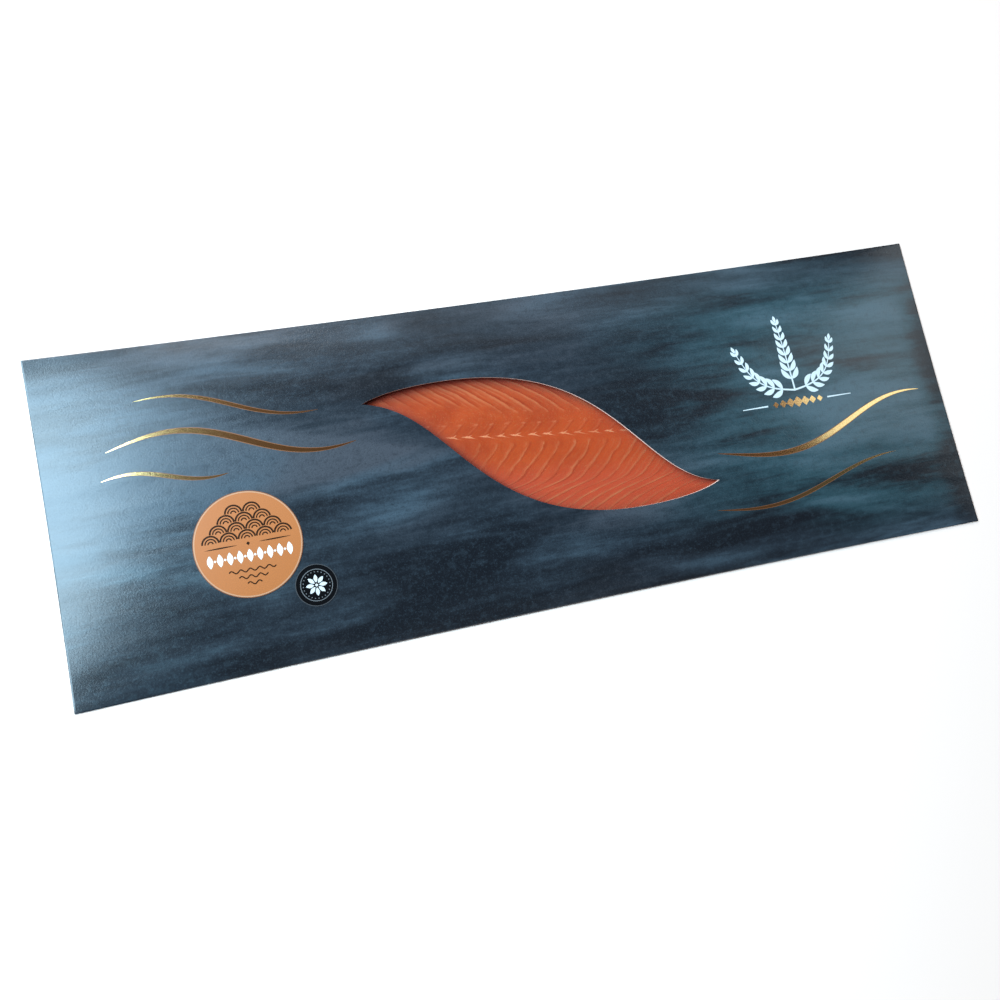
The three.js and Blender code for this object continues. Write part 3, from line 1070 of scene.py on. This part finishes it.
def tapered(width, power=0.8):
    """A width that swells from nearly nothing to its full size and back."""
    return lambda part: width * (0.04 + 0.96 * math.sin(math.pi * part) ** power)


def thinning(width, loss):
    """A width that loses a part of its size towards the end."""
    return lambda part: width * (1 - loss * part)


# ---- Foil and emblem ----

# Each ripple's start, end, swing, number of waves, phase and width, in millimetres.
FOIL_RIPPLES = {
    "foil_left": (
        ((-250, 38), (-112, 26), 9.0, 0.9, 0.00, 4.2),
        ((-232, 62), (-130, 47), 6.0, 0.8, 0.08, 2.6),
        ((-255, 20), (-186, 17), 4.0, 0.8, 0.08, 2.8),
    ),
    "foil_right": (
        ((108, -28), (268, -12), 9.0, 0.9, 0.45, 4.2),
        ((100, -60), (236, -50), 6.5, 0.8, 0.50, 2.6),
    ),
}
FOIL_STEPS, FOIL_ROWS = 90, 9

EMBLEM_FOOT = mm(172, 7)
FRONDS = ((0, 47, 0), (-35, 30, 9), (35, 30, -9))  # reach, rise and bend, in millimetres
FROND_PAIRS = 8
BARE_STEM, LEAFY_STEM = 0.16, 0.80  # parts of the stem below its leaves and with them
STEM_WIDTH, STEM_LOSS = 1.2 * MM, 0.6
LEAFLET_LENGTH, LENGTH_LOSS = 10.5 * MM, 0.55  # each loss is a part, towards the stem's tip
LEAFLET_WIDTH, WIDTH_LOSS = 3.7 * MM, 0.45
LEAFLET_ANGLE, ANGLE_LOSS = 40, 12  # away from the stem, in degrees
LEAFLET_CURL = 0.10
TIP_LENGTH, TIP_WIDTH = LEAFLET_LENGTH * 0.45, LEAFLET_WIDTH * 0.6
EMBLEM_DROP = 8 * MM  # from the fronds' foot down to the lozenges
RULE_SPAN = (22, 40)  # millimetres from the middle
LOZENGE_PITCH = 5.4 * MM
LOZENGE_SIZE, LOZENGE_LOSS = 3.6 * MM, 0.5 * MM


def add_leaflet(bm, foot, way, size, width, curl=0.0):
    """A slim leaf from its foot, bent to one side by a part of its length."""
    line = wave_line(foot, foot + way * size, curl * size, 0.5)
    add_stroke(bm, line, tapered(width, 0.9), 8)


def add_frond(bm, root, tip, bend):
    """A stem with pairs of slim leaves that get smaller towards its tip."""
    stem = wave_line(root, tip, bend, 0.5)
    add_stroke(bm, stem, thinning(STEM_WIDTH, STEM_LOSS), 24)
    for pair in range(FROND_PAIRS):
        part = BARE_STEM + LEAFY_STEM * pair / (FROND_PAIRS - 1)
        ahead = (stem(min(1.0, part + 0.02)) - stem(part - 0.02)).normalized()
        size = LEAFLET_LENGTH * (1 - LENGTH_LOSS * part)
        width = LEAFLET_WIDTH * (1 - WIDTH_LOSS * part)
        for turn in (-1, 1):
            angle = math.radians(LEAFLET_ANGLE - ANGLE_LOSS * part) * turn
            way = Matrix.Rotation(angle, 2) @ ahead
            add_leaflet(bm, stem(part), way, size, width, LEAFLET_CURL * turn)
    ahead = (stem(1.0) - stem(0.96)).normalized()
    add_leaflet(bm, stem(1.0), ahead, TIP_LENGTH, TIP_WIDTH)


class PACK_OT_foil(bpy.types.Operator):
    """Make the gold foil ripples at both sides of the window"""

    bl_idname = "salmon_pack.foil"
    bl_label = "Foil Ripples"

    def execute(self, context):
        look = context.scene.print_look
        materials = [foil_material(look), ink_material("foil_outline", look.outline, 0.35)]
        for name, ripples in FOIL_RIPPLES.items():
            bm = bmesh.new()
            for start, end, swing, waves, phase, width in ripples:
                line = wave_line(mm(*start), mm(*end), swing * MM, waves, phase)
                add_stroke(bm, line, tapered(width * MM), FOIL_STEPS, FOIL_ROWS)
            finish_print(bm, name, materials)
        return {"FINISHED"}


class PACK_OT_emblem(bpy.types.Operator):
    """Make the emblem: three fronds over a row of foil lozenges"""

    bl_idname = "salmon_pack.emblem"
    bl_label = "Frond Emblem"

    def execute(self, context):
        look = context.scene.print_look
        bm = bmesh.new()
        for reach, rise, bend in FRONDS:
            add_frond(bm, EMBLEM_FOOT, EMBLEM_FOOT + mm(reach, rise), bend * MM)
        level = EMBLEM_FOOT - Vector((0, EMBLEM_DROP))
        for side in (-1, 1):
            start, end = (level + mm(side * reach, 0) for reach in RULE_SPAN)
            add_stroke(bm, straight_line(start, end), thinning(1.0 * MM, 0.5), 12)
        finish_print(bm, "emblem_fronds", [ink_material("emblem_white", look.white, 0.4)])
        bm = bmesh.new()
        for number in range(-3, 4):
            size = LOZENGE_SIZE - LOZENGE_LOSS * abs(number)
            add_dot(bm, level + Vector((number * LOZENGE_PITCH, 0)), size, 4)
        finish_print(bm, "emblem_lozenges", [foil_material(look)])
        return {"FINISHED"}


# ---- Stickers ----

STICKER_SEGMENTS = 96
STICKER_RINGS = 12
STICKER_LINE_DEPTH = 1.15 * MM
STICKER_EDGE_WIDTH = 0.45 * MM
PRINT_WHITE = (0.86, 0.84, 0.80)
SMALL_RIM = (0.06, 0.06, 0.065)
SMALL_WHITE = (0.75, 0.75, 0.74)
SMALL_GREY = (0.16, 0.16, 0.165)

# The round sticker's ornament, in millimetres from its centre.
SCALLOP_ROWS = (5, 4, 3, 2)
SCALLOP_STEP, SCALLOP_FOOT = 5.0, 3.2
SCALLOP_ARCS = ((4.6, 1.0), (3.0, 0.75), (1.4, 0.75))  # radius and width
RULE_HEIGHT = 0.2
LEAF_PITCH = 5.5
LEAVES_LOW, LEAVES_HIGH = -10.2, -3.0
WAVES = ((13, -14.5), (8, -18.2), (4, -21.9))  # half length and height
WAVE_LENGTH = 5.2

# The small sticker's.
PETALS = 8
PETAL_FROM, PETAL_TO, PETAL_WIDTH = 1.4 * MM, 6.0 * MM, 2.2 * MM
RING_INNER, RING_OUTER = 8.7 * MM, 9.1 * MM
DOTS = 24
DOT_CIRCLE, DOT_RADIUS = 7.5 * MM, 0.32 * MM


def centre_of(box):
    low, high = box
    return Vector(((low[0] + high[0]) / 2, (low[1] + high[1]) / 2))


def make_sticker(name, box, materials):
    """A round paper sticker that follows the front. Its materials are those of the paper, of a
    thin line near the edge and of the edge."""
    radius = (box[1][0] - box[0][0]) / 2
    rings = [(reach, 0) for reach in evenly(0.0, radius, STICKER_RINGS)[2:]]
    rings += [(radius - STICKER_LINE_DEPTH, 0), (radius - STICKER_EDGE_WIDTH, 1), (radius, 2)]
    reached = radius / STICKER_RINGS
    bm = bmesh.new()
    bmesh.ops.create_circle(
        bm, cap_ends=True, cap_tris=True, segments=STICKER_SEGMENTS, radius=reached
    )
    ring = [edge for edge in bm.edges if edge.is_boundary]
    for reach, material in rings:
        scale = reach / reached
        ring = grow_ring(bm, ring, lambda corner, k=scale: corner.co * k, material)
        reached = reach
    bmesh.ops.translate(bm, verts=bm.verts, vec=centre_of(box).to_3d())
    lay_on_front(bm, STICKER_LIFT + STICKER_THICKNESS, STICKER_THICKNESS)
    return finish_piece(bm, name, materials)


class PACK_OT_round_sticker(bpy.types.Operator):
    """Make the round orange sticker and its printed ornament"""

    bl_idname = "salmon_pack.round_sticker"
    bl_label = "Round Sticker"

    def execute(self, context):
        look = context.scene.print_look
        paper = ink_material("sticker_orange", look.orange)
        line = ink_material("sticker_line", look.line)
        edge = ink_material("sticker_edge", look.rim)
        piece = make_sticker("round_sticker", ROUND_BOX, [paper, line, edge])
        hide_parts("sticker_round")
        self.make_ink(ink_material("sticker_ink", look.ink, 0.28, 0.25))
        self.make_band(ink_material("sticker_white", PRINT_WHITE, 0.5))
        return {"FINISHED"}

    def at(self, x, y):
        """A point on the sticker, in millimetres from its centre."""
        return centre_of(ROUND_BOX) + mm(x, y)

    def make_ink(self, ink):
        """Rows of nested scallops in the upper half, and rules and waves lower down."""
        bm = bmesh.new()
        for row, count in enumerate(SCALLOP_ROWS):
            height = SCALLOP_FOOT + row * SCALLOP_STEP
            for number in range(count):
                middle = self.at((2 * number - count + 1) * SCALLOP_STEP, height)
                for radius, width in SCALLOP_ARCS:
                    line = arc_line(middle, radius * MM, 4, 176)
                    add_stroke(bm, line, even(width * MM), 20)
        for side in (-1, 1):
            line = straight_line(self.at(side * 6, RULE_HEIGHT), self.at(side * 24, RULE_HEIGHT))
            add_stroke(bm, line, tapered(0.8 * MM), 12)
        add_dot(bm, self.at(0, RULE_HEIGHT), 1.1 * MM, 4)
        for half, height in WAVES:
            start, end = self.at(-half, height), self.at(half, height)
            line = wave_line(start, end, 0.8 * MM, 2 * half / WAVE_LENGTH)
            add_stroke(bm, line, even(0.7 * MM), 8 * half)
        finish_print(bm, "round_sticker_ink", [ink], ON_STICKER)

    def make_band(self, white):
        """A white row of leaves and lozenges across the middle."""
        bm = bmesh.new()
        for number in range(-4, 5):
            x = number * LEAF_PITCH
            line = straight_line(self.at(x, LEAVES_LOW), self.at(x, LEAVES_HIGH))
            add_stroke(bm, line, tapered(3.3 * MM, 0.9), 12)
            if number < 4:
                middle = self.at(x + LEAF_PITCH / 2, (LEAVES_LOW + LEAVES_HIGH) / 2)
                add_dot(bm, middle, 0.8 * MM, 4)
        finish_print(bm, "round_sticker_white", [white], ON_STICKER)


class PACK_OT_small_sticker(bpy.types.Operator):
    """Make the small black sticker and its printed rosette"""

    bl_idname = "salmon_pack.small_sticker"
    bl_label = "Small Sticker"

    def execute(self, context):
        black = context.scene.print_look.black
        paper = ink_material("sticker_black", black, 0.25, 0.2)
        rim = ink_material("sticker_black_rim", SMALL_RIM, 0.4)
        piece = make_sticker("small_sticker", SMALL_BOX, [paper, paper, rim])
        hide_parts("sticker_small")
        centre = centre_of(SMALL_BOX)
        bm = bmesh.new()
        for petal in range(PETALS):
            way = direction(360 / PETALS * petal)
            line = straight_line(centre + way * PETAL_FROM, centre + way * PETAL_TO)
            add_stroke(bm, line, tapered(PETAL_WIDTH, 0.9), 10)
        add_dot(bm, centre, 0.8 * MM)
        white = ink_material("small_sticker_white", SMALL_WHITE, 0.5)
        finish_print(bm, "small_sticker_rosette", [white], ON_STICKER)
        bm = bmesh.new()
        add_ring(bm, centre, RING_INNER, RING_OUTER, 72)
        for dot in range(DOTS):
            add_dot(bm, centre + direction(360 / DOTS * dot) * DOT_CIRCLE, DOT_RADIUS, 10)
        grey = ink_material("small_sticker_grey", SMALL_GREY, 0.5)
        finish_print(bm, "small_sticker_ring", [grey], ON_STICKER)
        return {"FINISHED"}


# ---- The stage ----

SKY, DAY, PLAIN = (0.57, 0.83, 1.0), (0.88, 0.96, 1.0), (1.0, 0.97, 0.93)
# Each light's name, place, target, size in metres, power in watts and colour.
LIGHTS = (
    ("left_window", (-1.27, 0.46, 1.2), (-0.3, 0.1, 0), (1.75, 1.08), 84, SKY),
    ("top_window", (0.2, 1.75, 1.25), (0, 0, 0), (2.2, 0.9), 4, DAY),
    ("right_window", (1.55, 0.45, 1.2), (0.1, 0, 0), (0.8, 1.0), 4, DAY),
    ("corner_window", (-0.80, 1.95, 0.95), (0, 0, 0), (1.2, 0.7), 27, PLAIN),
    ("front_softbox", (0.45, -1.75, 0.8), (0.15, 0, 0), (1.6, 0.7), 7, PLAIN),
)
ROOM_COLOUR = (0.93, 0.97, 1.0, 1.0)
ROOM_STRENGTH = 0.09
FLOOR_REACH = 4.0
FLOOR_COLOURS = (0.99, 0.78, 0.69), (0.97, 0.765, 0.675)
FLOOR_GRAIN = (3, 3, 3), 3, 0.5
CAMERA_TURN = (10.535, -11.716, -12.455)


class PACK_OT_stage(bpy.types.Operator):
    """Set up the floor, the lights and the camera"""

    bl_idname = "salmon_pack.stage"
    bl_label = "Stage"

    def execute(self, context):
        self.make_floor()
        self.make_room(context.scene)
        for light in LIGHTS:
            self.add_light(context.scene, *light)
        self.make_camera(context.scene)
        return {"FINISHED"}

    def make_floor(self):
        bm = bmesh.new()
        bmesh.ops.create_grid(bm, x_segments=4, y_segments=4, size=FLOOR_REACH)
        paint = mottled_material("floor_paint", FLOOR_GRAIN, 0.3, *FLOOR_COLOURS, 0.9)
        floor = make_object(bm, "floor", [paint])
        floor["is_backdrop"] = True

    def make_room(self, scene):
        world = bpy.data.worlds.new("studio")
        world.use_nodes = True
        background = world.node_tree.nodes["Background"]
        background.inputs["Color"].default_value = ROOM_COLOUR
        background.inputs["Strength"].default_value = ROOM_STRENGTH
        scene.world = world

    def add_light(self, scene, name, place, target, size, power, tint):
        lamp = bpy.data.lights.new(name, "AREA")
        lamp.shape = "RECTANGLE"
        lamp.size, lamp.size_y = size
        lamp.energy = power
        lamp.color = tint
        light = bpy.data.objects.new(name, lamp)
        light.location = place
        way = Vector(target) - Vector(place)
        light.rotation_euler = way.to_track_quat("-Z", "Y").to_euler()
        scene.collection.objects.link(light)

    def make_camera(self, scene):
        stage = scene.stage_sizes
        lens = bpy.data.cameras.new("camera")
        lens.lens = stage.lens
        lens.sensor_width = 36
        lens.clip_start = 0.01
        camera = bpy.data.objects.new("camera", lens)
        camera.location = (stage.camera_x, stage.camera_y, stage.camera_height)
        camera.rotation_euler = [math.radians(angle) for angle in CAMERA_TURN]
        scene.collection.objects.link(camera)
        scene.camera = camera
        scene.view_settings.view_transform = "Standard"


# ---- Registration ----


class PACK_PT_panel(bpy.types.Panel):
    """Lists the pack's pieces in the sidebar"""

    bl_idname = "PACK_PT_panel"
    bl_label = "Salmon Pack"
    bl_space_type = "VIEW_3D"
    bl_region_type = "UI"
    bl_category = "Salmon Pack"

    def draw(self, context):
        for operator in OPERATORS:
            self.layout.operator(operator.bl_idname)
        for group in SETTINGS:
            settings = getattr(context.scene, group)
            for key in settings.bl_rna.properties.keys():
                if key not in ("rna_type", "name"):
                    self.layout.prop(settings, key)


SETTINGS = {
    "sleeve_sizes": SleeveSizes,
    "card_look": CardLook,
    "salmon_look": SalmonLook,
    "print_look": PrintLook,
    "stage_sizes": StageSizes,
}
OPERATORS = (
    PACK_OT_sleeve,
    PACK_OT_salmon,
    PACK_OT_film,
    PACK_OT_foil,
    PACK_OT_emblem,
    PACK_OT_round_sticker,
    PACK_OT_small_sticker,
    PACK_OT_stage,
)
CLASSES = (*SETTINGS.values(), *OPERATORS, PACK_PT_panel)


def register():
    for each in CLASSES:
        bpy.utils.register_class(each)
    for name, settings in SETTINGS.items():
        setattr(bpy.types.Scene, name, PointerProperty(type=settings))


def unregister():
    for name in SETTINGS:
        delattr(bpy.types.Scene, name)
    for each in reversed(CLASSES):
        bpy.utils.unregister_class(each)


def main():
    register()
    bpy.ops.salmon_pack.sleeve()
    bpy.ops.salmon_pack.salmon()
    bpy.ops.salmon_pack.film()
    bpy.ops.salmon_pack.foil()
    bpy.ops.salmon_pack.emblem()
    bpy.ops.salmon_pack.round_sticker()
    bpy.ops.salmon_pack.small_sticker()
    bpy.ops.salmon_pack.stage()
    bpy.context.view_layer.update()
    boxes = {"cad": CAD_BOX, "visual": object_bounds()}
    plain = {name: [list(corner) for corner in box] for name, box in boxes.items()}


if __name__ == "__main__":
    main()
